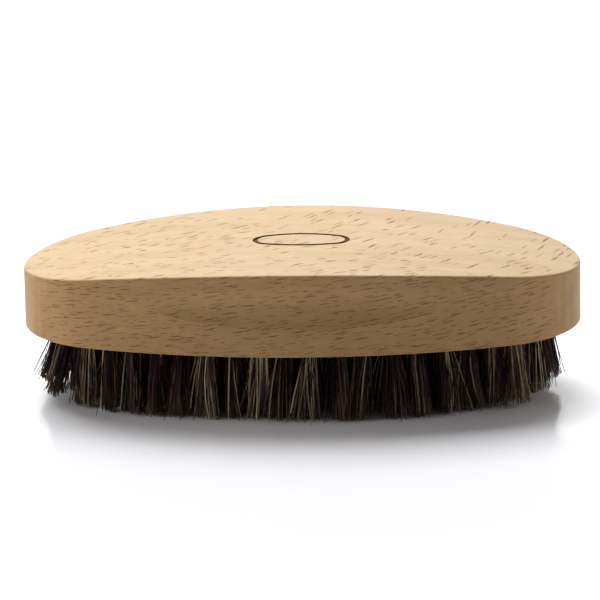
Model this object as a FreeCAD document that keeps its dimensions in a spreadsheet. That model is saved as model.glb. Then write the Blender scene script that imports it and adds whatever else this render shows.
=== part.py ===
import FreeCAD, Part
import math
import os

import Sketcher

# Oval beard brush. A one-piece beech handle block is drilled with blind holes in its
# flat underside. Each hole holds one tuft of bristle, folded in half over a flat metal
# anchor that is wedged across the hole near its bottom. Nothing moves.
#
# Frame: +X along the block, +Y across it, +Z up. The origin is under the middle of the
# block, on the plane of the trimmed bristle tips. Lengths are in millimetres and
# angles in degrees.

DRIVING_SIZES = {
    # handle block
    "block_length": 120.0,
    "block_width": 60.0,
    "block_height": 18.0,
    "block_end_height": 13.0,
    "end_radius": 23.5,
    "top_edge_radius": 0.6,
    "bottom_edge_radius": 0.5,
    # shallow finger groove along each long side
    "groove_length": 62.0,
    "groove_height": 12.4,
    "groove_depth": 1.4,
    "groove_centre_height": 10.6,
    "groove_shoulder_radius": 6.5,
    # thin oval ring engraved in the middle of the top
    "mark_length": 21.0,
    "mark_width": 10.5,
    "mark_end_radius": 4.1,
    "mark_line_width": 1.1,
    "mark_depth": 0.45,
    # drilled holes
    "hole_diameter": 3.0,
    "hole_depth": 9.5,
    "ring_pitch": 5.5,
    "outer_ring_inset": 8.2,
    "inner_ring_inset": 13.0,
    "row_pitch": 5.2,
    "row_spacing": 4.0,
    "row_clearance": 4.0,
    "outer_ring_lean": 10.0,
    "inner_ring_lean": 5.0,
    # tufts, before and after they are trimmed
    "bristle_length": 15.0,
    "trim_allowance": 3.0,
    "tuft_root_diameter": 2.96,
    "tuft_end_diameter": 4.7,
    "trim_flat_length": 86.0,
    "trim_end_radius": 30.0,
    # anchors
    "anchor_length": 2.9,
    "anchor_height": 1.9,
    "anchor_thickness": 0.35,
    "anchor_fold_gap": 0.6,
    "anchor_clearance": 0.02,
    "anchor_angle": 45.0,
}

ROWS_EACH_SIDE = 3
# how far cutting shapes run past the piece they cut
OVERCUT = 2.0
# the groove cutter starts this far outside the block's side, so that it never grazes it
GROOVE_LEAD = 0.1

BACK, LEFT, FRONT, RIGHT = range(4)
SIDE_NAMES = ("back", "left", "front", "right")

# point numbers on a sketch edge, and the sketch's own two axes
START, END, CENTRE = 1, 2, 3
X_AXIS, Y_AXIS = -1, -2

doc = FreeCAD.newDocument("BeardBrush")
sheet = doc.addObject("Spreadsheet::Sheet", "Sizes")


def fill_sheet():
    """Write each driving size in the sheet, under its own name."""
    for row, (name, value) in enumerate(DRIVING_SIZES.items(), start=1):
        sheet.set(f"A{row}", name)
        sheet.set(f"B{row}", str(value))
        sheet.setAlias(f"B{row}", name)
    doc.recompute()


def number(expression):
    """The value of an expression in sheet names."""
    return float(sheet.evalExpression(expression))


# ---------------------------------------------------------------- sketch helpers

def body_plane(body, role):
    """One of a body's own origin planes or axes."""
    return next(item for item in body.Origin.OriginFeatures if item.Role == role)


def new_body(name):
    return doc.addObject("PartDesign::Body", name)


def new_sketch(body, name, role):
    """A sketch on one of the body's origin planes."""
    sketch = body.newObject("Sketcher::SketchObject", name)
    sketch.AttachmentSupport = (body_plane(body, role), [""])
    sketch.MapMode = "FlatFace"
    return sketch


def add_arc(sketch, centre_x, centre_y, radius, start, end):
    """A circular arc, anticlockwise from start to end (radians)."""
    centre = FreeCAD.Vector(centre_x, centre_y, 0)
    circle = Part.Circle(centre, FreeCAD.Vector(0, 0, 1), radius)
    return sketch.addGeometry(Part.ArcOfCircle(circle, start, end), False)


def add_line(sketch, start, end, construction=False):
    line = Part.LineSegment(FreeCAD.Vector(*start, 0), FreeCAD.Vector(*end, 0))
    return sketch.addGeometry(line, construction)


def relate(sketch, kind, *where):
    sketch.addConstraint(Sketcher.Constraint(kind, *where))


def dimension(sketch, name, expression, kind, *where):
    """A named dimension that takes its value from the sheet."""
    index = sketch.addConstraint(Sketcher.Constraint(kind, *where, number(expression)))
    sketch.renameConstraint(index, name)
    sketch.setExpression(f"Constraints.{name}", sheet_expression(expression))


def sheet_expression(expression):
    """Put the sheet's name before each size in an expression."""
    words = []
    for word in expression.replace("(", "( ").replace(")", " )").split():
        words.append(f"Sizes.{word}" if word in DRIVING_SIZES else word)
    return " ".join(words)


def bind(item, prop, expression):
    item.setExpression(prop, sheet_expression(expression))


# ---------------------------------------------------------------- the four-arc oval

def side_radius(length, width, end_radius):
    """Radius of the long side arcs that run smoothly into the end arcs."""
    return (f"( ( ( {length} ) / 2 - ( {end_radius} ) ) ^ 2 + ( ( {width} ) / 2 ) ^ 2"
            f" - ( {end_radius} ) ^ 2 ) / ( ( {width} ) - 2 * ( {end_radius} ) )")


def add_oval(sketch, name, length, width, end_radius):
    """Draw an oval of two long side arcs and two tight end arcs."""
    side_formula = side_radius(length, width, end_radius)
    side, end = number(side_formula), number(end_radius)
    side_centre = side - number(width) / 2
    end_centre = number(length) / 2 - end
    turn = math.atan2(side_centre, end_centre)

    back = add_arc(sketch, 0, -side_centre, side, turn, math.pi - turn)
    left = add_arc(sketch, -end_centre, 0, end, math.pi - turn, math.pi + turn)
    front = add_arc(sketch, 0, side_centre, side, math.pi + turn, 2 * math.pi - turn)
    right = add_arc(sketch, end_centre, 0, end, -turn, turn)

    relate(sketch, "Tangent", back, END, left, START)
    for before, after in ((left, front), (front, right), (right, back)):
        relate(sketch, "Coincident", before, END, after, START)
    relate(sketch, "Symmetric", back, START, back, END, Y_AXIS)
    relate(sketch, "Symmetric", back, START, front, END, X_AXIS)
    relate(sketch, "Symmetric", back, END, front, START, X_AXIS)
    relate(sketch, "Equal", back, front)
    relate(sketch, "Equal", left, right)
    dimension(sketch, f"{name}_end", end_radius, "Radius", left)
    dimension(sketch, f"{name}_side", side_formula, "Radius", back)
    dimension(sketch, f"{name}_reach", f"( {length} ) / 2 - ( {end_radius} )",
              "DistanceX", X_AXIS, START, right, CENTRE)


# ---------------------------------------------------------------- handle block

def make_blank(body):
    """The oval blank, standing on its flat underside."""
    outline = new_sketch(body, "block_outline", "XY_Plane")
    add_oval(outline, "oval", "block_length", "block_width", "end_radius")
    blank = body.newObject("PartDesign::Pad", "blank")
    blank.Profile = outline
    bind(blank, "Length", "block_height")


def make_dome(body):
    """Shape the top to an arc along the block's length, straight across its width."""
    drop = "( block_height - block_end_height )"
    radius = f"( ( block_length / 2 ) ^ 2 + {drop} ^ 2 ) / ( 2 * {drop} )"
    reach = number("block_length") / 2 + OVERCUT
    centre_height = number(f"block_height - {radius}")
    lift = math.acos(reach / number(radius))
    edge_height = centre_height + number(radius) * math.sin(lift)
    roof_height = number("2 * block_height")

    profile = new_sketch(body, "dome_profile", "XZ_Plane")
    arc = add_arc(profile, 0, centre_height, number(radius), lift, math.pi - lift)
    right = add_line(profile, (reach, edge_height), (reach, roof_height))
    roof = add_line(profile, (reach, roof_height), (-reach, roof_height))
    left = add_line(profile, (-reach, roof_height), (-reach, edge_height))
    relate(profile, "Coincident", arc, START, right, START)
    relate(profile, "Coincident", right, END, roof, START)
    relate(profile, "Coincident", roof, END, left, START)
    relate(profile, "Coincident", left, END, arc, END)
    relate(profile, "Vertical", right)
    relate(profile, "Vertical", left)
    relate(profile, "Horizontal", roof)
    relate(profile, "Symmetric", arc, START, arc, END, Y_AXIS)
    dimension(profile, "dome_radius", radius, "Radius", arc)
    dimension(profile, "dome_centre", f"{radius} - block_height",
              "DistanceY", arc, CENTRE, X_AXIS, START)
    dimension(profile, "dome_reach", f"block_length + 2 * {OVERCUT}",
              "DistanceX", arc, END, arc, START)
    dimension(profile, "roof_height", "2 * block_height",
              "DistanceY", X_AXIS, START, roof, START)

    dome = body.newObject("PartDesign::Pocket", "dome")
    dome.Profile = profile
    dome.SideType = "Symmetric"
    bind(dome, "Length", "2 * block_width")


def round_edges(body):
    """Sand the rim of the top and the rim of the underside."""
    lowest_top_edge = number("block_end_height") - OVERCUT
    for name, radius, at_rim in (
        ("top_rim", "top_edge_radius", lambda box: box.ZMin > lowest_top_edge),
        ("bottom_rim", "bottom_edge_radius", lambda box: box.ZMax < OVERCUT),
    ):
        doc.recompute()
        solid = body.Tip
        edges = [f"Edge{index}" for index, edge in enumerate(solid.Shape.Edges, start=1)
                 if at_rim(edge.BoundBox)]
        rim = body.newObject("PartDesign::Fillet", name)
        rim.Base = (solid, edges)
        bind(rim, "Radius", radius)


def make_finger_grooves(body):
    """Sweep a shallow cove, with soft shoulders, round a wide circle into each long side."""
    half_height = "( groove_height / 2 )"
    depth = f"( groove_depth + {GROOVE_LEAD} )"
    cove = (f"( ( {half_height} ^ 2 + {depth} ^ 2 ) / ( 2 * {depth} )"
            " - groove_shoulder_radius )")
    face = f"( block_width / 2 + {GROOVE_LEAD} )"
    side = side_radius("block_length", "block_width", "end_radius")
    sweep = f"( 1 / ( 1 / ( {side} ) - 8 * groove_depth / groove_length ^ 2 ) )"

    shoulder_radius, cove_radius = number("groove_shoulder_radius"), number(cove)
    face_y, middle, rise = -number(face), number("groove_centre_height"), number(half_height)
    shoulder_y = face_y + shoulder_radius
    cove_y = face_y + number(depth) - cove_radius
    outside = face_y - OVERCUT
    swing = math.atan2(rise, shoulder_y - cove_y)

    profile = new_sketch(body, "groove_profile", "YZ_Plane")
    upper = add_arc(profile, shoulder_y, middle + rise, shoulder_radius, math.pi, math.pi + swing)
    bowl = add_arc(profile, cove_y, middle, cove_radius, -swing, swing)
    lower = add_arc(profile, shoulder_y, middle - rise, shoulder_radius, math.pi - swing, math.pi)
    under = add_line(profile, (face_y, middle - rise), (outside, middle - rise))
    back = add_line(profile, (outside, middle - rise), (outside, middle + rise))
    over = add_line(profile, (outside, middle + rise), (face_y, middle + rise))
    axis = add_line(profile, (face_y + number(sweep), 0),
                    (face_y + number(sweep), number("block_height")), construction=True)

    relate(profile, "Tangent", upper, END, bowl, END)
    relate(profile, "Tangent", bowl, START, lower, START)
    relate(profile, "Coincident", lower, END, under, START)
    relate(profile, "Coincident", under, END, back, START)
    relate(profile, "Coincident", back, END, over, START)
    relate(profile, "Coincident", over, END, upper, START)
    for level in (under, over):
        relate(profile, "Horizontal", level)
    for upright in (back, axis):
        relate(profile, "Vertical", upright)
    relate(profile, "Horizontal", upper, START, upper, CENTRE)
    relate(profile, "Horizontal", lower, END, lower, CENTRE)
    relate(profile, "PointOnObject", axis, START, X_AXIS)
    dimension(profile, "upper_shoulder", "groove_shoulder_radius", "Radius", upper)
    dimension(profile, "lower_shoulder", "groove_shoulder_radius", "Radius", lower)
    dimension(profile, "cove_radius", cove, "Radius", bowl)
    dimension(profile, "cove_height", "groove_centre_height",
              "DistanceY", X_AXIS, START, bowl, CENTRE)
    dimension(profile, "upper_face", f"{face} - groove_shoulder_radius",
              "DistanceX", upper, CENTRE, X_AXIS, START)
    dimension(profile, "lower_face", f"{face} - groove_shoulder_radius",
              "DistanceX", lower, CENTRE, X_AXIS, START)
    dimension(profile, "cove_place", f"{face} - {depth} + {cove}",
              "DistanceX", bowl, CENTRE, X_AXIS, START)
    dimension(profile, "outside", f"{face} + {OVERCUT}",
              "DistanceX", back, START, X_AXIS, START)
    dimension(profile, "sweep_axis", f"{sweep} - {face}",
              "DistanceX", X_AXIS, START, axis, START)
    dimension(profile, "axis_length", "block_height", "DistanceY", axis, START, axis, END)

    front = body.newObject("PartDesign::Groove", "front_groove")
    front.Profile = profile
    front.ReferenceAxis = (profile, ["Axis0"])
    front.Angle = 360.0
    mirrored = body.newObject("PartDesign::Mirrored", "both_grooves")
    mirrored.Originals = [front]
    mirrored.MirrorPlane = (body_plane(body, "XZ_Plane"), [""])
    body.Tip = mirrored


def engrave_mark(body):
    """A thin plain oval ring, engraved in the middle of the top."""
    outline = new_sketch(body, "mark_outline", "XY_Plane")
    bind(outline, "AttachmentOffset.Base.z", "block_height - mark_depth")
    add_oval(outline, "outer", "mark_length", "mark_width", "mark_end_radius")
    add_oval(outline, "inner", "mark_length - 2 * mark_line_width",
             "mark_width - 2 * mark_line_width", "mark_end_radius - mark_line_width")
    mark = body.newObject("PartDesign::Pocket", "mark")
    mark.Profile = outline
    mark.Reversed = True
    bind(mark, "Length", "block_height")


def make_block_body():
    """The finished block, before its holes are drilled."""
    body = new_body("block_body")
    bind(body, "Placement.Base.z", "bristle_length")
    make_blank(body)
    make_dome(body)
    round_edges(body)
    make_finger_grooves(body)
    engrave_mark(body)
    return body


# ---------------------------------------------------------------- where the tufts go

def inset_of(x, y):
    """How far inside the block's outline a point lies."""
    end = number("end_radius")
    side = number(side_radius("block_length", "block_width", "end_radius"))
    side_centre = side - number("block_width / 2")
    end_centre = number("block_length / 2") - end
    if abs(x) * side_centre > (abs(y) + side_centre) * end_centre:
        return end - math.hypot(abs(x) - end_centre, y)
    return side - math.hypot(x, abs(y) + side_centre)


def ring_places(inset, lean):
    """Evenly spaced tufts along a line parallel to the outline, sorted by side."""
    end = number("end_radius")
    side = number(side_radius("block_length", "block_width", "end_radius"))
    side_centre = side - number("block_width / 2")
    end_centre = number("block_length / 2") - end
    turn = math.atan2(side_centre, end_centre)
    arcs = (
        (BACK, 0, -side_centre, side - inset, turn, math.pi - turn),
        (LEFT, -end_centre, 0, end - inset, math.pi - turn, math.pi + turn),
        (FRONT, 0, side_centre, side - inset, math.pi + turn, 2 * math.pi - turn),
        (RIGHT, end_centre, 0, end - inset, 2 * math.pi - turn, 2 * math.pi + turn),
    )
    lengths = [radius * (last - first) for _, _, _, radius, first, last in arcs]
    count = 2 * round(sum(lengths) / number("ring_pitch") / 2)
    step = sum(lengths) / count
    # half a step off the middle of the back, so that both halves match
    start = lengths[BACK] / 2 + step / 2
    places = {name: [] for name in SIDE_NAMES}
    for index in range(count):
        along = (start + index * step) % sum(lengths)
        for (name, centre_x, centre_y, radius, first, last), length in zip(arcs, lengths):
            if along <= length:
                break
            along -= length
        angle = first + along / radius
        outward = (math.cos(angle), math.sin(angle))
        point = (centre_x + radius * outward[0], centre_y + radius * outward[1])
        places[SIDE_NAMES[name]].append((point, outward, lean))
    return places


def row_places(row):
    """A straight row of upright tufts along the block, kept clear of the inner ring."""
    pitch = number("row_pitch")
    y = row * number("row_spacing")
    stagger = pitch / 2 if row % 2 else 0.0
    least_inset = number("inner_ring_inset + row_clearance")
    most = int(number("block_length") / pitch)
    places = []
    for index in range(-most, most + 1):
        x = index * pitch + stagger
        if inset_of(x, y) >= least_inset:
            places.append(((x, y), (0.0, 0.0), 0.0))
    return places


def tuft_groups():
    """Every tuft's place, gathered in named groups."""
    groups = {}
    for ring in ("outer_ring", "inner_ring"):
        for side, places in ring_places(number(f"{ring}_inset"), number(f"{ring}_lean")).items():
            groups[f"{ring}_{side}"] = places
    for row in range(-ROWS_EACH_SIDE, ROWS_EACH_SIDE + 1):
        if row == 0:
            name = "middle_row"
        else:
            name = f"{'front' if row < 0 else 'back'}_row_{abs(row)}"
        groups[name] = row_places(row)
    return groups


def hole_placement(place):
    """The mouth of a hole: local +Z points out of the wood, along the bristles."""
    (x, y), outward, lean = place
    lean = math.radians(lean)
    along = FreeCAD.Vector(outward[0] * math.sin(lean), outward[1] * math.sin(lean), -math.cos(lean))
    angle = math.radians(number("anchor_angle"))
    across = FreeCAD.Vector(math.cos(angle), math.sin(angle), 0)
    turned = FreeCAD.Rotation(across, FreeCAD.Vector(), along, "ZXY")
    return FreeCAD.Placement(FreeCAD.Vector(x, y, number("bristle_length")), turned)


# ---------------------------------------------------------------- one of each small shape

def make_drill():
    """The hole cutter, which also clears the mouth of the hole."""
    flute = doc.addObject("Part::Cylinder", "drill_flute")
    bind(flute, "Radius", "hole_diameter / 2")
    bind(flute, "Height", f"hole_depth + {OVERCUT}")
    bind(flute, "Placement.Base.z", "0 - hole_depth")
    return make_compound("drill", [flute])


def make_tuft():
    """A tuft as it is filled: tight in its hole, spreading evenly below the mouth."""
    root = number("tuft_root_diameter / 2")
    tip = number("tuft_end_diameter / 2")
    top = number("hole_depth")
    bottom = number("bristle_length + trim_allowance")
    corners = ((0, -top), (root, -top), (root, 0), (tip, bottom), (0, bottom))

    body = new_body("tuft")
    profile = new_sketch(body, "tuft_profile", "XZ_Plane")
    lines = [add_line(profile, start, end)
             for start, end in zip(corners, corners[1:] + corners[:1])]
    crown, wall, flare, cut, axis = lines
    for before, after in zip(lines, lines[1:] + lines[:1]):
        relate(profile, "Coincident", before, END, after, START)
    for level in (crown, cut):
        relate(profile, "Horizontal", level)
    relate(profile, "Vertical", wall)
    relate(profile, "PointOnObject", axis, START, Y_AXIS)
    relate(profile, "PointOnObject", axis, END, Y_AXIS)
    relate(profile, "PointOnObject", wall, END, X_AXIS)
    dimension(profile, "root_radius", "tuft_root_diameter / 2",
              "DistanceX", crown, START, crown, END)
    dimension(profile, "end_radius", "tuft_end_diameter / 2",
              "DistanceX", cut, END, cut, START)
    dimension(profile, "rooted_length", "hole_depth", "DistanceY", wall, START, wall, END)
    dimension(profile, "free_length", "bristle_length + trim_allowance",
              "DistanceY", flare, START, flare, END)
    turned = body.newObject("PartDesign::Revolution", "tuft_round")
    turned.Profile = profile
    turned.ReferenceAxis = (profile, ["V_Axis"])
    turned.Angle = 360.0
    return body


def make_strip(name, length, clearance):
    """A flat strip across the hole: the anchor, or the slot that the fold leaves for it."""
    strip = doc.addObject("Part::Box", f"{name}_strip")
    bind(strip, "Length", length)
    bind(strip, "Width", f"anchor_thickness + 2 * {clearance}")
    bind(strip, "Height", f"anchor_height + 2 * {clearance}")
    bind(strip, "Placement.Base.x", f"0 - ( {length} ) / 2")
    bind(strip, "Placement.Base.y", f"0 - anchor_thickness / 2 - {clearance}")
    bind(strip, "Placement.Base.z", f"anchor_fold_gap - hole_depth - {clearance}")
    return make_compound(name, [strip])


def make_trim_space():
    """The space left inside the clipper's path: flat in the middle, rising to both ends."""
    flat, radius = number("trim_flat_length / 2"), number("trim_end_radius")
    reach = number("block_length") / 2 + OVERCUT
    roof = number("bristle_length + block_height")
    swing = math.asin((reach - flat) / radius)
    edge = radius * (1 - math.cos(swing))

    body = new_body("trim_space")
    profile = new_sketch(body, "trim_profile", "XZ_Plane")
    floor = add_line(profile, (-flat, 0), (flat, 0))
    right = add_arc(profile, flat, radius, radius, -math.pi / 2, -math.pi / 2 + swing)
    right_wall = add_line(profile, (reach, edge), (reach, roof))
    top = add_line(profile, (reach, roof), (-reach, roof))
    left_wall = add_line(profile, (-reach, roof), (-reach, edge))
    left = add_arc(profile, -flat, radius, radius, -math.pi / 2 - swing, -math.pi / 2)
    relate(profile, "Tangent", floor, END, right, START)
    relate(profile, "Coincident", right, END, right_wall, START)
    relate(profile, "Coincident", right_wall, END, top, START)
    relate(profile, "Coincident", top, END, left_wall, START)
    relate(profile, "Coincident", left_wall, END, left, START)
    relate(profile, "Tangent", left, END, floor, START)
    relate(profile, "Symmetric", floor, START, floor, END, X_AXIS, START)
    relate(profile, "Horizontal", top)
    for wall in (left_wall, right_wall):
        relate(profile, "Vertical", wall)
    relate(profile, "Symmetric", right, END, left, START, Y_AXIS)
    dimension(profile, "flat_length", "trim_flat_length", "DistanceX", floor, START, floor, END)
    dimension(profile, "rise_radius", "trim_end_radius", "Radius", right)
    dimension(profile, "reach", f"block_length / 2 + {OVERCUT}",
              "DistanceX", X_AXIS, START, right, END)
    dimension(profile, "roof", "bristle_length + block_height",
              "DistanceY", X_AXIS, START, top, START)
    space = body.newObject("PartDesign::Pad", "trim_block")
    space.Profile = profile
    space.SideType = "Symmetric"
    bind(space, "Length", "2 * block_width")
    return body


# ---------------------------------------------------------------- arrays and pieces

def make_array(name, master, placements):
    """One copy of the master at each hole."""
    array = doc.addObject("App::Link", name)
    array.LinkedObject = master
    array.LinkTransform = True
    array.ShowElement = False
    array.ElementCount = len(placements)
    array.PlacementList = placements
    return array


def make_boolean(kind, name, base, tool):
    result = doc.addObject(f"Part::{kind}", name)
    result.Base = base
    result.Tool = tool
    return result


def make_compound(name, items):
    compound = doc.addObject("Part::Compound", name)
    compound.Links = items
    return compound


def make_tufts(group, placements, tuft, slot, trim_space):
    """A group of tufts, trimmed to length, each folded round its anchor."""
    filled = make_array(f"{group}_filled", tuft, placements)
    trimmed = make_boolean("Common", f"{group}_trimmed", filled, trim_space)
    slots = make_array(f"{group}_slots", slot, placements)
    return make_boolean("Cut", f"tufts_{group}", trimmed, slots)


def make_anchors(group, placements, anchor):
    strips = make_array(f"{group}_strips", anchor, placements)
    return make_compound(f"anchors_{group}", [strips])


def build():
    """Make every piece. Gives each node's object and the number of solids it holds."""
    fill_sheet()
    block_body = make_block_body()
    drill = make_drill()
    tuft = make_tuft()
    anchor = make_strip("anchor", "anchor_length", 0)
    slot = make_strip("slot", f"hole_diameter + {OVERCUT}", "anchor_clearance")
    trim_space = make_trim_space()
    doc.recompute()

    pieces = {}
    drilled = []
    for group, places in tuft_groups().items():
        placements = [hole_placement(place) for place in places]
        drilled.append(make_array(f"{group}_holes", drill, placements))
        tufts = make_tufts(group, placements, tuft, slot, trim_space)
        pieces[f"tufts_{group}"] = (tufts, len(places))
        anchors = make_anchors(group, placements, anchor)
        pieces[f"anchors_{group}"] = (anchors, len(places))
    holes = make_compound("all_holes", drilled)
    block = make_boolean("Cut", "handle_block", block_body, holes)
    pieces["handle_block"] = (block, 1)
    doc.recompute()
    return pieces


def check(pieces):
    """Stop unless every object built and every piece is what it should be."""
    for item in doc.Objects:
        if {"Invalid", "Error"} & set(item.State):
            raise RuntimeError(f"{item.Name} failed: {item.State}")
    for name, (piece, count) in pieces.items():
        shape = piece.Shape
        if shape.isNull() or not shape.isValid():
            raise RuntimeError(f"{name} has no valid shape")
        if len(shape.Solids) != count:
            raise RuntimeError(f"{name} holds {len(shape.Solids)} solids, not {count}")


def write(pieces):
    os.makedirs("parts", exist_ok=True)
    for name, (piece, _) in pieces.items():
        piece.Label = name
        piece.Shape.exportStep(f"parts/{name}.step")


brush = build()
check(brush)
write(brush)
for node, (item, solid_count) in brush.items():
    print(f"{node}: {solid_count} solids, {item.Shape.Volume:.1f} cubic mm")
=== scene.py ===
import math

import bpy
import numpy as np
from mathutils import Matrix, Vector


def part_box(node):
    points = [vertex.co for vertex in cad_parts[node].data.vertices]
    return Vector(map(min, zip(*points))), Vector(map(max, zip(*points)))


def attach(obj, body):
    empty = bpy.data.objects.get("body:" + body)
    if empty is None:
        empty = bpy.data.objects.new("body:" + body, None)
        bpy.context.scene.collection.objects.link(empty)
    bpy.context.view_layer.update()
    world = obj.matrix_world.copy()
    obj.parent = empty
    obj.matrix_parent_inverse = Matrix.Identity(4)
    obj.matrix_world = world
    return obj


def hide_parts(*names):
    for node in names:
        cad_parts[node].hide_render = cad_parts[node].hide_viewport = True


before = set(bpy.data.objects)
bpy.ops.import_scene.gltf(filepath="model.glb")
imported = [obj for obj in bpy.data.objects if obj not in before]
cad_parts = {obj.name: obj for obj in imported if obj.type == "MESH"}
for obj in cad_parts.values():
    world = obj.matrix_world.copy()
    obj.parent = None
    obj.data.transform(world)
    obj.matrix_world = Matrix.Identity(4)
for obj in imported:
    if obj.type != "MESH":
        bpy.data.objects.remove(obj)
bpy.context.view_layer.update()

# An oval military beard brush: a pale beech block that stands on its bristles.
# The block and the anchors are the CAD nodes with new materials. Each CAD node of
# tufts is replaced by one piece made of separate bristles in the same holes.
# Lengths are in millimetres here, and MM turns them into the frame's metres.

MM = 0.001
SEED = 20417

# The shape that the bristles and the wood's pattern have to know about.
block_low, block_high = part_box("handle_block")
UNDERSIDE = block_low.z / MM
TOP_HEIGHT = block_high.z / MM
TRIM_FLAT = (43.0, 42.0)    # the tips are level out to here, left and right of the middle
TRIM_RADIUS = 32.0          # beyond that the trimmed tips curve up at this radius
TOP_RADIUS = 362.5          # radius of the domed top, along the block
MARK_REACH = (13.0, 8.0)    # half length and half width that hold the engraved ring
MARK_DEPTH = 1.5            # and the height under the top of the dome that holds it

# Wood: each layer on the flat faces has its angle, its fleck length, and the range of
# the grain's direction, in degrees, where its flecks show.
FLAT_LAYERS = ((14.0, 3.4, -1000.0, 23.0), (33.0, 4.4, 23.0, 42.0),
               (56.0, 5.8, 42.0, 58.0), (73.0, 7.6, 58.0, 1000.0))
FLAT_FLECK_WIDTH = 0.62
FLAT_FLECK_SHARE = 0.34     # share of the cells that hold a fleck
GRAIN_AT_MIDDLE = 40.0      # the grain's direction in the middle, in degrees
GRAIN_TURN = (0.42, 0.5)    # degrees that it turns in a millimetre along and across
GRAIN_TURN_LEFT = 0.3       # and more along the block, left of the middle

# Each layer on the sides has its cell, fleck length and width, share of cells, and shift.
SIDE_LAYERS = (((4.2, 3.0, 1.00), 3.9, 0.30, 0.80, (1.1, 4.2, 0.3)),
               ((3.0, 2.6, 0.85), 2.5, 0.22, 0.50, (5.4, 0.6, 2.9)))
SIDE_RISE = -8.5            # degrees about the width, so that the flecks rise to the right

# Bristles: the number in one tuft, by group, and how they grow.
BRISTLES_IN = {"outer": 112, "inner": 84, "row": 60}
ROOT_RADIUS = 1.34          # of the round patch that the roots fill
ROOT_DEPTH = 1.5            # a bristle starts this far inside its hole
GOLDEN_ANGLE = 2.399963     # in radians, from one root to the next
MOUTH_SPREAD = 1.75         # tip spacing as a multiple of root spacing
FAN = (0.7, -0.9)           # how far the tips at the left and right end spread outward
FAN_REACH = 55.0            # distance from the middle at which that spread is whole
LOCKS = (3, 6)              # a tuft has at least 3 locks and fewer than 6
LOCK_SPREAD = 0.75
LOCK_SHIFT = 0.85           # how far a whole lock leans
LOCK_PULL = (0.2, 0.6)      # how far its bristles draw together
TIP_JITTER = 0.62
TUFT_TILT = 0.65
STRAY_SHARE = 0.09
STRAY_REACH = 1.8
SHORT_SHARE = 0.05
CUT = (0.12, 0.45)          # the tips end this far above the trimmed surface
WORN = (0.4, 2.2)           # and the short ones this much more
BOW = (0.32, 0.22)          # how far one bristle, and a whole tuft, arch sideways
BRISTLE_RADIUS = (0.105, 0.15)
STRAW_THICKER = 1.2         # straw bristles are this much thicker
TIP_SHARE = 0.62            # tip radius as a share of the root radius
RINGS = 5                   # rings of points along a bristle
SIDES = 3                   # and points round it

# Tones run from 0, near black, through red brown to 1, pale straw.
DARK_TONES = (0.02, 0.49)
BROWN_TONES = (0.48, 0.68)
STRAW_TONES = (0.68, 1.0)
DARK_SHARE = 0.78           # the rest are red brown, apart from the straw ones
PALE_TUFTS = 0.22           # share of the tufts that have many straw bristles
STRAW_LOCKS = (0.24, 0.75)  # share of the locks with straw, in other and in pale tufts
STRAW_IN_LOCK = (0.32, 0.50)
STRAW_ELSEWHERE = 0.07

# Studio: name, place, the point it faces, size and watts of each softbox, in metres.
LIGHTS = (("overhead", (-0.15, 0.46, 0.90), (0.0, 0.0, 0.02), (0.8, 0.6), 16.3),
          ("behind", (0.0, 1.3, 0.45), (0.0, 0.0, 0.05), (2.6, 0.9), 13.0),
          ("left", (-0.9, -0.15, 0.42), (0.0, 0.0, 0.02), (0.7, 0.5), 4.3),
          ("right", (0.9, -0.1, 0.3), (0.0, 0.0, 0.02), (0.5, 0.4), 2.1))
TABLE_HALF = 3.0
TABLE_DROP = 0.0001         # the table lies just below the lowest tips
SKY_STRENGTH = 0.075

# Camera: millimetres and degrees. The picture is 600 across.
CAMERA_DISTANCE = 1100.0
PIXELS_PER_MM = 4.635
CAMERA_ELEVATION = 15.46
CAMERA_YAW = 2.46
CAMERA_ROLL = -1.06
AIM_HEIGHT = 9.0            # above the underside of the block
FRAME_SHIFT = (0.43, 4.42)  # left and down, to frame the brush
SENSOR_WIDTH = 36.0


# ---------------------------------------------------------------- materials

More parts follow.
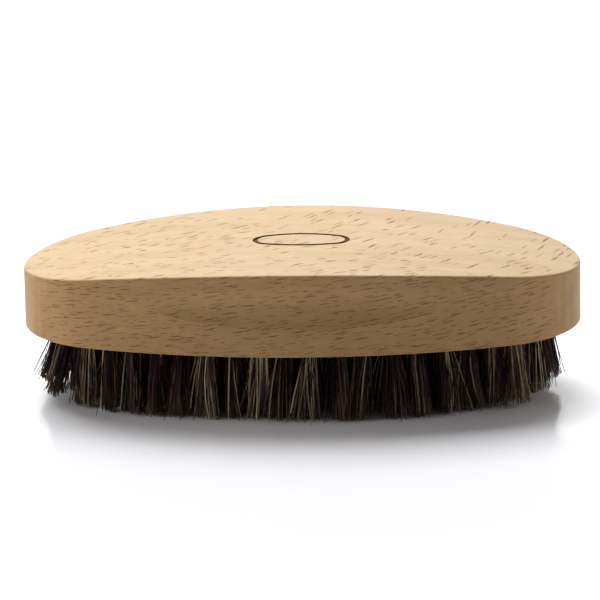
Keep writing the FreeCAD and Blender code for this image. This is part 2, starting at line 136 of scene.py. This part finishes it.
class Shader:
    """A node material, with short ways to add nodes and join them."""

    def __init__(self, name):
        self.material = bpy.data.materials.new(name)
        self.material.use_nodes = True
        self.tree = self.material.node_tree
        self.surface = self.tree.nodes["Principled BSDF"]

    def give(self, socket, value):
        if isinstance(value, bpy.types.NodeSocket):
            self.tree.links.new(value, socket)
        else:
            socket.default_value = value

    def add(self, kind, inputs, **settings):
        node = self.tree.nodes.new(kind)
        for setting, value in settings.items():
            setattr(node, setting, value)
        for socket, value in inputs.items():
            self.give(node.inputs[socket], value)
        return node

    def math(self, operation, *values, clamp=False):
        inputs = dict(enumerate(values))
        node = self.add("ShaderNodeMath", inputs, operation=operation, use_clamp=clamp)
        return node.outputs[0]

    def vector(self, operation, *values):
        inputs = dict(enumerate(values))
        if operation == "SCALE":
            inputs = {0: values[0], "Scale": values[1]}
        return self.add("ShaderNodeVectorMath", inputs, operation=operation).outputs[0]

    def turn(self, vector, degrees, axis="Z_AXIS"):
        inputs = {"Vector": vector, "Angle": math.radians(degrees)}
        return self.add("ShaderNodeVectorRotate", inputs, rotation_type=axis).outputs[0]

    def split(self, vector):
        return self.add("ShaderNodeSeparateXYZ", {0: vector}).outputs

    def ease(self, value, low, high, result=(0.0, 1.0)):
        """A smooth step of value from low to high."""
        inputs = {"Value": value, "From Min": low, "From Max": high,
                  "To Min": result[0], "To Max": result[1]}
        return self.add("ShaderNodeMapRange", inputs, interpolation_type="SMOOTHSTEP").outputs[0]

    def noise(self, vector, detail=2.0, roughness=0.5):
        inputs = {"Vector": vector, "Scale": 1.0, "Detail": detail, "Roughness": roughness}
        return self.add("ShaderNodeTexNoise", inputs, noise_dimensions="3D").outputs[0]

    def drift(self, vector, reach):
        """A slow random offset of a vector, up to about half the reach each way."""
        inputs = {"Vector": vector, "Scale": 1.0, "Detail": 1.0}
        offset = self.add("ShaderNodeTexNoise", inputs).outputs["Color"]
        offset = self.vector("SUBTRACT", offset, (0.5, 0.5, 0.5))
        return self.vector("MULTIPLY", offset, reach)

    def mix(self, share, first, second, blend="MIX"):
        inputs = {0: share, 6: first, 7: second}
        return self.add("ShaderNodeMix", inputs, data_type="RGBA", blend_type=blend).outputs[2]

    def ramp(self, value, stops):
        node = self.add("ShaderNodeValToRGB", {0: value})
        elements = node.color_ramp.elements
        while len(elements) < len(stops):
            elements.new(1.0)
        for element, (position, colour) in zip(elements, stops):
            element.position = position
            element.color = colour
        return node.outputs[0]

    def bump(self, height, strength, distance):
        inputs = {"Height": height, "Strength": strength, "Distance": distance}
        return self.add("ShaderNodeBump", inputs).outputs[0]


def colour(red, green, blue):
    """A colour given as 0 to 255 screen values."""
    def linear(value):
        value = value / 255
        return value / 12.92 if value <= 0.04045 else ((value + 0.055) / 1.055) ** 2.4
    return linear(red), linear(green), linear(blue), 1.0


def flecks(shader, place, angle, cell, length, width, keep, shift, across, axis="Z_AXIS"):
    """Lens-shaped dark flecks that all run at one angle. Returns how dark the fleck is
    here, from 0 to 1, and where the middle of the nearest fleck is."""
    turned = shader.turn(place, -angle, axis)
    grid = shader.vector("ADD", shader.vector("DIVIDE", turned, cell), shift)
    cells = shader.add("ShaderNodeTexVoronoi", {"Vector": grid, "Scale": 1.0, "Randomness": 1.0},
                       voronoi_dimensions="3D", feature="F1")
    middle = cells.outputs["Position"]
    chance = shader.split(cells.outputs["Color"])
    local = shader.split(shader.vector("MULTIPLY", shader.vector("SUBTRACT", grid, middle), cell))
    half_length = shader.math("MULTIPLY_ADD", chance[0], length * 0.34, length * 0.24)
    along = shader.math("DIVIDE", local[0], half_length)
    lens = shader.math("MULTIPLY_ADD", shader.math("MULTIPLY", along, along), -1.0, 1.0)
    thick = shader.math("DIVIDE", shader.math("ABSOLUTE", local[across]), width / 2)
    shape = shader.math("SUBTRACT", lens, thick)
    kept = shader.math("LESS_THAN", chance[1], keep)
    strength = shader.math("MULTIPLY", kept, shader.math("MULTIPLY_ADD", chance[2], 0.75, 0.27))
    dark = shader.math("MULTIPLY", shader.ease(shape, 0.0, 0.4), strength)
    back = shader.vector("MULTIPLY", shader.vector("SUBTRACT", middle, shift), cell)
    return dark, shader.turn(back, angle, axis)


def make_beech():
    """Pale beech: soft growth bands, fine fibre, short ray flecks and a burnt ring."""
    shader = Shader("beech")
    source = shader.add("ShaderNodeTexCoord", {})
    place = shader.vector("SCALE", source.outputs["Object"], 1000.0)
    x, y, z = shader.split(place)
    facing = shader.split(source.outputs["Normal"])
    flat = shader.ease(shader.math("ABSOLUTE", facing[2]), 0.55, 0.9)
    end = shader.ease(shader.math("ABSOLUTE", facing[0]), 0.62, 0.96)

    # A slow drift bends the flecks and the bands a little, and a quick one makes the
    # flecks on the flat faces uneven.
    wander = shader.drift(shader.vector("MULTIPLY", place, (0.045, 0.06, 0.12)), (0.0, 5.0, 1.8))
    bent = shader.vector("ADD", place, wander)
    ripple = shader.drift(shader.vector("MULTIPLY", place, (0.42, 0.6, 0.8)), (0.0, 1.3, 0.5))
    rippled = shader.vector("ADD", bent, ripple)

    # On the flat faces, the top and the underside, the grain turns from along the block
    # at the left and front to across it at the back right. Each layer holds the flecks
    # of one direction.
    flat_marks = None
    for number, (angle, length, low, high) in enumerate(FLAT_LAYERS):
        dark, middle = flecks(shader, rippled, angle, (length, 1.6, 3.0), length,
                              FLAT_FLECK_WIDTH, FLAT_FLECK_SHARE,
                              (7.3 * number, 3.1, 1.7 * number), 1)
        along, across, _ = shader.split(middle)
        direction = shader.math("MULTIPLY_ADD", across, GRAIN_TURN[1], GRAIN_AT_MIDDLE)
        direction = shader.math("MULTIPLY_ADD", along, GRAIN_TURN[0], direction)
        direction = shader.math("MULTIPLY_ADD", shader.math("MINIMUM", along, 0.0),
                                GRAIN_TURN_LEFT, direction)
        inside = shader.math("MULTIPLY", shader.math("GREATER_THAN", direction, low),
                             shader.math("LESS_THAN", direction, high))
        dark = shader.math("MULTIPLY", dark, inside)
        flat_marks = dark if flat_marks is None else shader.math("MAXIMUM", flat_marks, dark)
    flat_marks = shader.math("MULTIPLY", flat_marks, flat)

    # Round the sides the flecks are shorter and closer, and rise slightly to the right.
    side_marks = None
    for cell, length, width, keep, shift in SIDE_LAYERS:
        dark, _ = flecks(shader, bent, SIDE_RISE, cell, length, width, keep, shift, 2, "Y_AXIS")
        side_marks = dark if side_marks is None else shader.math("MAXIMUM", side_marks, dark)
    side = shader.math("SUBTRACT", 1.0, flat)
    side_marks = shader.math("MULTIPLY", side_marks, shader.math("SUBTRACT", side, end, clamp=True))

    # Growth bands, cloudy patches, fibre, and the upright lines that show on the two ends.
    bands = shader.noise(shader.vector("MULTIPLY", bent, (0.018, 0.16, 0.22)), 3.0, 0.55)
    patches = shader.noise(shader.vector("MULTIPLY", place, (0.035, 0.05, 0.05)), 1.0)
    fibre = shader.noise(shader.vector("MULTIPLY", bent, (0.22, 3.4, 3.4)), 3.0, 0.6)
    mottle = shader.noise(shader.vector("MULTIPLY", rippled, (0.26, 0.75, 0.75)), 2.0)
    upright = shader.noise(shader.vector("MULTIPLY", place, (0.35, 0.7, 0.03)), 2.0)

    pale = colour(181, 155, 116)
    warm = colour(173, 146, 105)
    pink = colour(176, 146, 109)
    tint = shader.mix(shader.ease(bands, 0.34, 0.68), pale, warm)
    tint = shader.mix(shader.math("MULTIPLY", shader.ease(patches, 0.45, 0.7), 0.5), tint, pink)

    # Shade: fibre, mottle and end lines, and painted shade that makes the wood slightly darker
    # towards the right, as if the light fell more from the left.
    shade = shader.math("MULTIPLY_ADD", fibre, 0.14, 0.93)
    shade = shader.math("MULTIPLY", shade, shader.math("MULTIPLY_ADD", mottle, 0.2, 0.9))
    stripe = shader.math("MULTIPLY_ADD", upright, 0.5, 0.75)
    stripe = shader.math("MULTIPLY_ADD", shader.math("SUBTRACT", stripe, 1.0), end, 1.0)
    shade = shader.math("MULTIPLY", shade, stripe)
    # Painted shade: darker towards the right, as if less light reached the right end.
    shade = shader.math("MULTIPLY", shade, shader.math("MULTIPLY_ADD", x, -0.0009, 1.0))
    grain_and_painted_shade = shader.add("ShaderNodeCombineColor", {0: shade, 1: shade, 2: shade}).outputs[0]
    tint = shader.mix(1.0, tint, grain_and_painted_shade, "MULTIPLY")

    # Painted shade: the sides are made a little browner and darker than the flat faces, as if they
    # stood in shade. The flecks are darker than both.
    painted_side_shade = shader.math("MULTIPLY", side, 0.8)
    tint = shader.mix(painted_side_shade, tint, colour(241, 223, 195), "MULTIPLY")
    tint = shader.mix(shader.math("MULTIPLY", flat_marks, 0.85), tint, colour(104, 70, 14))
    tint = shader.mix(shader.math("MULTIPLY", side_marks, 0.7), tint, colour(88, 56, 26))

    # The engraved ring is burnt: brown wherever the surface is below the dome.
    drop = shader.math("DIVIDE", shader.math("MULTIPLY", x, x), 2 * TOP_RADIUS)
    depth = shader.math("SUBTRACT", shader.math("SUBTRACT", TOP_HEIGHT, drop), z)
    near = shader.math("MULTIPLY",
                       shader.math("LESS_THAN", shader.math("ABSOLUTE", x), MARK_REACH[0]),
                       shader.math("LESS_THAN", shader.math("ABSOLUTE", y), MARK_REACH[1]))
    near = shader.math("MULTIPLY", near, shader.math("GREATER_THAN", z, TOP_HEIGHT - MARK_DEPTH))
    burnt = shader.math("MULTIPLY", near, shader.ease(depth, 0.04, 0.16))
    soot = shader.mix(shader.ease(fibre, 0.35, 0.65), colour(76, 44, 8), colour(98, 60, 18))
    tint = shader.mix(burnt, tint, soot)
    shader.give(shader.surface.inputs["Base Color"], tint)

    marks = shader.math("MAXIMUM", flat_marks, side_marks)
    gloss = shader.math("MULTIPLY_ADD", fibre, 0.16, 0.42)
    gloss = shader.math("MULTIPLY_ADD", shader.math("MAXIMUM", burnt, marks), 0.35, gloss)
    shader.give(shader.surface.inputs["Roughness"], gloss)
    shader.give(shader.surface.inputs["Specular IOR Level"], 0.2)
    height = shader.math("MULTIPLY_ADD", marks, -1.0, shader.math("MULTIPLY", fibre, 0.8))
    shader.give(shader.surface.inputs["Normal"], shader.bump(height, 0.3, 0.0001))
    return shader.material


def make_bristle():
    """Natural boar bristle, near black to straw. Each bristle holds its own tone."""
    shader = Shader("boar_bristle")
    tone = shader.add("ShaderNodeAttribute", {}, attribute_name="tone").outputs["Fac"]
    along = shader.add("ShaderNodeAttribute", {}, attribute_name="along").outputs["Fac"]
    source = shader.add("ShaderNodeTexCoord", {})
    place = shader.vector("SCALE", source.outputs["Object"], 1000.0)
    flecked = shader.noise(shader.vector("MULTIPLY", place, (2.6, 2.6, 0.4)), 2.0)
    mixed = shader.math("MULTIPLY_ADD", shader.math("SUBTRACT", flecked, 0.5), 0.12, tone)
    tint = shader.ramp(mixed, ((0.0, colour(11, 3, 7)), (0.42, colour(32, 12, 17)),
                               (0.62, colour(80, 51, 41)), (0.74, colour(130, 113, 84)),
                               (0.88, colour(176, 161, 127)), (1.0, colour(205, 193, 163))))
    worn = shader.ease(along, 0.6, 1.0, (0.0, 0.16))
    tint = shader.mix(worn, tint, colour(140, 124, 100), "SCREEN")
    shader.give(shader.surface.inputs["Base Color"], tint)
    gloss = shader.math("MULTIPLY_ADD", flecked, 0.2, 0.42)
    shader.give(shader.surface.inputs["Roughness"], gloss)
    shader.give(shader.surface.inputs["Specular IOR Level"], 0.2)
    return shader.material


def make_brass():
    """Rolled brass strip for the flat anchors that hold the tufts."""
    shader = Shader("rolled_brass")
    source = shader.add("ShaderNodeTexCoord", {})
    place = shader.vector("SCALE", source.outputs["Object"], 1000.0)
    rolled = shader.noise(shader.vector("MULTIPLY", place, (9.0, 9.0, 1.2)), 3.0)
    stain = shader.noise(shader.vector("MULTIPLY", place, (0.8, 0.8, 0.8)), 2.0)
    tint = shader.mix(shader.ease(stain, 0.45, 0.7), colour(214, 178, 104), colour(168, 122, 66))
    shader.give(shader.surface.inputs["Base Color"], tint)
    shader.surface.inputs["Metallic"].default_value = 1.0
    shader.give(shader.surface.inputs["Roughness"], shader.math("MULTIPLY_ADD", rolled, 0.3, 0.2))
    shader.give(shader.surface.inputs["Normal"], shader.bump(rolled, 0.2, 0.00002))
    return shader.material


def make_floor_finish():
    """A white satin table that mirrors the bristles faintly."""
    shader = Shader("white_table")
    source = shader.add("ShaderNodeTexCoord", {})
    cloud = shader.noise(shader.vector("SCALE", source.outputs["Object"], 3.0), 2.0)
    tint = shader.mix(cloud, (0.82, 0.82, 0.86, 1.0), (0.85, 0.85, 0.89, 1.0))
    shader.give(shader.surface.inputs["Base Color"], tint)
    shader.give(shader.surface.inputs["Roughness"], shader.math("MULTIPLY_ADD", cloud, 0.02, 0.11))
    return shader.material


# ---------------------------------------------------------------- bristles

def tuft_axes(node):
    """The mouth of each tuft's hole, and the direction the bristles leave it in."""
    mesh = node.data
    points = np.empty(len(mesh.vertices) * 3)
    mesh.vertices.foreach_get("co", points)
    points = points.reshape(-1, 3) / MM
    edges = np.empty(len(mesh.edges) * 2, dtype=np.int64)
    mesh.edges.foreach_get("vertices", edges)
    _, weld = np.unique(np.round(points, 3), axis=0, return_inverse=True)
    weld = weld.reshape(-1)
    edges = weld[edges.reshape(-1, 2)]
    label = np.arange(weld.max() + 1)
    while True:
        low = np.minimum(label[edges[:, 0]], label[edges[:, 1]])
        spread = label.copy()
        np.minimum.at(spread, edges[:, 0], low)
        np.minimum.at(spread, edges[:, 1], low)
        spread = spread[spread]
        if np.array_equal(spread, label):
            break
        label = spread
    label = label[weld]
    axes = []
    for island in np.unique(label):
        part = points[label == island]
        root = part[part[:, 2] > part[:, 2].max() - 0.5].mean(axis=0)
        mouth = part[abs(part[:, 2] - UNDERSIDE) < 0.25].mean(axis=0)
        direction = mouth - root
        axes.append((mouth, direction / np.linalg.norm(direction)))
    return sorted(axes, key=lambda axis: (round(axis[0][0], 2), round(axis[0][1], 2)))


def trim_height(x):
    """Height of the trimmed tips above the table, at x along the brush."""
    flat = np.where(x < 0, *TRIM_FLAT)
    past = np.clip(np.abs(x) - flat, 0.0, TRIM_RADIUS * 0.95)
    return TRIM_RADIUS - np.sqrt(TRIM_RADIUS ** 2 - past ** 2)


def tuft_lines(random, mouth, axis, count, lean_out):
    """Centre lines of one tuft's bristles, their radii and tones."""
    first = np.cross(axis, (0.0, 1.0, 0.0))
    first /= np.linalg.norm(first)
    second = np.cross(axis, first)

    # Roots fill the hole evenly. Bristles near each other draw together in locks.
    reach = ROOT_RADIUS * np.sqrt((np.arange(count) + 0.5) / count)
    turn = np.arange(count) * GOLDEN_ANGLE + random.uniform(0, 2 * math.pi)
    roots = np.stack((reach * np.cos(turn), reach * np.sin(turn)), axis=1)
    roots += random.normal(0, 0.04, roots.shape)
    locks = random.integers(*LOCKS)
    lock_middle = random.normal(0, LOCK_SPREAD, (locks, 2))
    lock = ((roots[:, None] - lock_middle[None]) ** 2).sum(axis=2).argmin(axis=1)
    lock_shift = random.normal(0, LOCK_SHIFT, (locks, 2))
    lock_pull = random.uniform(*LOCK_PULL, locks)

    tips = roots * MOUTH_SPREAD
    gathered = lock_middle * MOUTH_SPREAD
    tips += (gathered[lock] - tips) * lock_pull[lock][:, None]
    tips += lock_shift[lock] + random.normal(0, TIP_JITTER, tips.shape)
    tips += random.normal(0, TUFT_TILT, 2)
    stray = random.random(count) < STRAY_SHARE
    tips[stray] += random.normal(0, STRAY_REACH, (stray.sum(), 2))

    start = mouth + np.outer(roots[:, 0], first) + np.outer(roots[:, 1], second)
    start = start - axis * ROOT_DEPTH
    length = UNDERSIDE / -axis[2]
    end = mouth + np.outer(tips[:, 0], first) + np.outer(tips[:, 1], second) + axis * length
    end += lean_out * random.uniform(-0.3, 0.8, (count, 1))
    end[:, 0] += mouth[0] / FAN_REACH * FAN[int(mouth[0] > 0)]

    # Every bristle stops at the trimmed surface, with a few cut or worn short.
    short = random.random(count) < SHORT_SHARE
    cut = random.uniform(*CUT, count) + short * random.uniform(*WORN, count)
    for _ in range(3):
        wanted = trim_height(end[:, 0]) + cut
        share = (wanted - start[:, 2]) / (end[:, 2] - start[:, 2])
        end = start + (end - start) * share[:, None]

    bow = random.normal(0, BOW[0], (count, 2)) + random.normal(0, BOW[1], 2)
    steps = np.linspace(0, 1, RINGS)
    lines = start[:, None] + (end - start)[:, None] * steps[None, :, None]
    arch = (4 * steps * (1 - steps))[None, :, None]
    sideways = np.outer(bow[:, 0], first) + np.outer(bow[:, 1], second)
    lines += sideways[:, None] * arch
    radius = random.uniform(*BRISTLE_RADIUS, count)

    # Most bristles are near black and some red brown. The straw ones keep together, and
    # about one tuft in five has many of them.
    pick = random.random(count)
    tone = random.uniform(*DARK_TONES, count)
    brown = pick > DARK_SHARE
    tone[brown] = random.uniform(*BROWN_TONES, brown.sum())
    pale = int(random.random() < PALE_TUFTS)
    straw_lock = random.random(locks) < STRAW_LOCKS[pale]
    chance = np.where(straw_lock[lock], STRAW_IN_LOCK[pale], STRAW_ELSEWHERE)
    straw = random.random(count) < chance
    tone[straw] = random.uniform(*STRAW_TONES, straw.sum())
    radius[straw] *= STRAW_THICKER
    return lines, radius, tone


def tube_mesh(name, lines, radius, tone, tufts):
    """One mesh of thin closed three-sided tubes along the given centre lines."""
    count = len(lines)
    along = np.gradient(lines, axis=1)
    along /= np.linalg.norm(along, axis=2, keepdims=True)
    side = np.cross(along, (0.0, 1.0, 0.0))
    side /= np.linalg.norm(side, axis=2, keepdims=True)
    other = np.cross(along, side)
    turns = (np.arange(SIDES) + (np.arange(count) % 7)[:, None] / 7) * 2 * math.pi / SIDES
    taper = np.linspace(1.0, TIP_SHARE, RINGS)
    size = radius[:, None] * taper[None]
    points = (lines[:, :, None]
              + side[:, :, None] * (size[:, :, None] * np.cos(turns)[:, None])[..., None]
              + other[:, :, None] * (size[:, :, None] * np.sin(turns)[:, None])[..., None])
    points = points.reshape(-1, 3) * MM

    ring = np.arange(RINGS - 1)[:, None] * SIDES
    around = np.arange(SIDES)[None]
    after = (around + 1) % SIDES
    walls = np.stack((ring + around, ring + after, ring + SIDES + after, ring + SIDES + around),
                     axis=2).reshape(-1, 4)
    per_bristle = RINGS * SIDES
    offset = np.arange(count) * per_bristle
    quads = (walls[None] + offset[:, None, None]).reshape(-1, 4)
    top = np.arange(SIDES)[::-1]
    bottom = np.arange(SIDES) + (RINGS - 1) * SIDES
    caps = np.stack((top, bottom))
    caps = (caps[None] + offset[:, None, None]).reshape(-1, SIDES)

    mesh = bpy.data.meshes.new(name)
    mesh.from_pydata(points.tolist(), [], quads.tolist() + caps.tolist())
    mesh.update()

    values = np.repeat(tone, per_bristle).astype(np.float32)
    mesh.attributes.new("tone", "FLOAT", "POINT").data.foreach_set("value", values)
    share = np.tile(np.repeat(np.linspace(0, 1, RINGS), SIDES), count).astype(np.float32)
    mesh.attributes.new("along", "FLOAT", "POINT").data.foreach_set("value", share)
    mesh.attributes.new("sharp_face", "BOOLEAN", "FACE").data.foreach_set(
        "value", np.zeros(len(mesh.polygons), dtype=bool))
    lay_out_strips(mesh, count, tufts)
    return mesh


def lay_out_strips(mesh, count, rows):
    """Gives every bristle its own upright strip of the texture."""
    columns = math.ceil(count / rows)
    bristle = np.arange(count)
    left = (bristle % columns + 0.1) / columns
    low = (bristle // columns + 0.04) / rows
    wide = 0.8 / columns
    tall = 0.92 / rows
    around = np.arange(SIDES)
    across = np.stack((around, around + 1, around + 1, around), axis=1) / SIDES
    level = np.arange(RINGS - 1)[:, None] / (RINGS - 1)
    step = np.array((0, 0, 1, 1)) / (RINGS - 1)
    u = np.broadcast_to(across[None], (RINGS - 1, SIDES, 4)).reshape(-1)
    v = np.broadcast_to((level + step)[:, None], (RINGS - 1, SIDES, 4)).reshape(-1)
    walls = np.stack((left[:, None] + u[None] * wide, low[:, None] + v[None] * tall), axis=2)
    cap_u = np.tile(np.arange(SIDES) / SIDES, 2)
    cap_v = np.repeat((0.0, 1.0), SIDES)
    caps = np.stack((left[:, None] + cap_u[None] * wide, low[:, None] + cap_v[None] * tall), axis=2)
    spots = np.concatenate((walls.reshape(-1, 2), caps.reshape(-1, 2)))
    layer = mesh.uv_layers.new(name="OFBake")
    layer.data.foreach_set("uv", spots.reshape(-1).astype(np.float32))


def make_bristles(name, finish, random):
    """One piece of loose bristles that stands for one CAD node of tufts."""
    axes = tuft_axes(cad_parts[name])
    kind = "outer" if "outer" in name else "inner" if "inner" in name else "row"
    made = []
    for mouth, axis in axes:
        flat = np.array((axis[0], axis[1], 0.0))
        lean_out = flat / max(np.linalg.norm(flat), 1e-6) if kind != "row" else flat * 0
        made.append(tuft_lines(random, mouth, axis, BRISTLES_IN[kind], lean_out))
    lines = np.concatenate([part[0] for part in made])
    radius = np.concatenate([part[1] for part in made])
    tone = np.concatenate([part[2] for part in made])
    piece_name = name.replace("tufts_", "bristles_")
    mesh = tube_mesh(piece_name, lines, radius, tone, len(axes))
    mesh.materials.append(finish)
    piece = bpy.data.objects.new(piece_name, mesh)
    bpy.context.scene.collection.objects.link(piece)
    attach(piece, "root")
    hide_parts(name)


# ---------------------------------------------------------------- stage

def soft_light(name, place, aim, size, watts):
    """A rectangular softbox that faces a point."""
    data = bpy.data.lights.new(name, "AREA")
    data.shape = "RECTANGLE"
    data.size, data.size_y = size
    data.energy = watts
    light = bpy.data.objects.new(name, data)
    light.location = place
    light.rotation_mode = "QUATERNION"
    light.rotation_quaternion = (Vector(aim) - Vector(place)).to_track_quat("-Z", "Y")
    bpy.context.scene.collection.objects.link(light)


def make_stage():
    """A white table and soft studio lights."""
    half = TABLE_HALF
    corners = [(-half, -half, 0), (half, -half, 0), (half, half, 0), (-half, half, 0)]
    mesh = bpy.data.meshes.new("table")
    mesh.from_pydata(corners, [], [(0, 1, 2, 3)])
    mesh.materials.append(make_floor_finish())
    table = bpy.data.objects.new("table", mesh)
    table.location.z = -TABLE_DROP
    bpy.context.scene.collection.objects.link(table)

    for light in LIGHTS:
        soft_light(*light)

    world = bpy.data.worlds.new("studio")
    bpy.context.scene.world = world
    world.use_nodes = True
    backdrop = world.node_tree.nodes["Background"]
    backdrop.inputs["Color"].default_value = (1.0, 0.98, 0.95, 1.0)
    backdrop.inputs["Strength"].default_value = SKY_STRENGTH
    bpy.context.scene.view_settings.view_transform = "Standard"


def make_camera():
    """A long lens, a little above the table and a little to the right of square on."""
    elevation = math.radians(CAMERA_ELEVATION)
    yaw = math.radians(CAMERA_YAW)
    roll = math.radians(CAMERA_ROLL)
    back = Vector((math.sin(yaw) * math.cos(elevation), -math.cos(yaw) * math.cos(elevation),
                   math.sin(elevation)))
    level = Vector((math.cos(yaw), math.sin(yaw), 0.0))
    rise = back.cross(level)
    right = level * math.cos(roll) + rise * math.sin(roll)
    up = rise * math.cos(roll) - level * math.sin(roll)
    aim = Vector((0.0, 0.0, UNDERSIDE + AIM_HEIGHT)) - right * FRAME_SHIFT[0] - up * FRAME_SHIFT[1]
    data = bpy.data.cameras.new("camera")
    data.sensor_width = SENSOR_WIDTH
    data.lens = SENSOR_WIDTH * CAMERA_DISTANCE / (600.0 / PIXELS_PER_MM)
    data.clip_start = 0.01
    data.clip_end = 20.0
    camera = bpy.data.objects.new("camera", data)
    camera.matrix_world = (Matrix.Translation((aim + back * CAMERA_DISTANCE) * MM)
                           @ Matrix((right, up, back)).transposed().to_4x4())
    bpy.context.scene.collection.objects.link(camera)
    bpy.context.scene.camera = camera


# ---------------------------------------------------------------- making it all

def refinish(node, finish):
    """A new material on a CAD node, in every slot it has."""
    if not node.data.materials:
        node.data.materials.append(finish)
    for index in range(len(node.data.materials)):
        node.data.materials[index] = finish


def build():
    make_camera()
    make_stage()
    beech = make_beech()
    bristle = make_bristle()
    brass = make_brass()
    random = np.random.default_rng(SEED)
    for name in sorted(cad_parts):
        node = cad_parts[name]
        if name.startswith("tufts_"):
            make_bristles(name, bristle, random)
        elif name.startswith("anchors_"):
            refinish(node, brass)
        else:
            refinish(node, beech)


build()
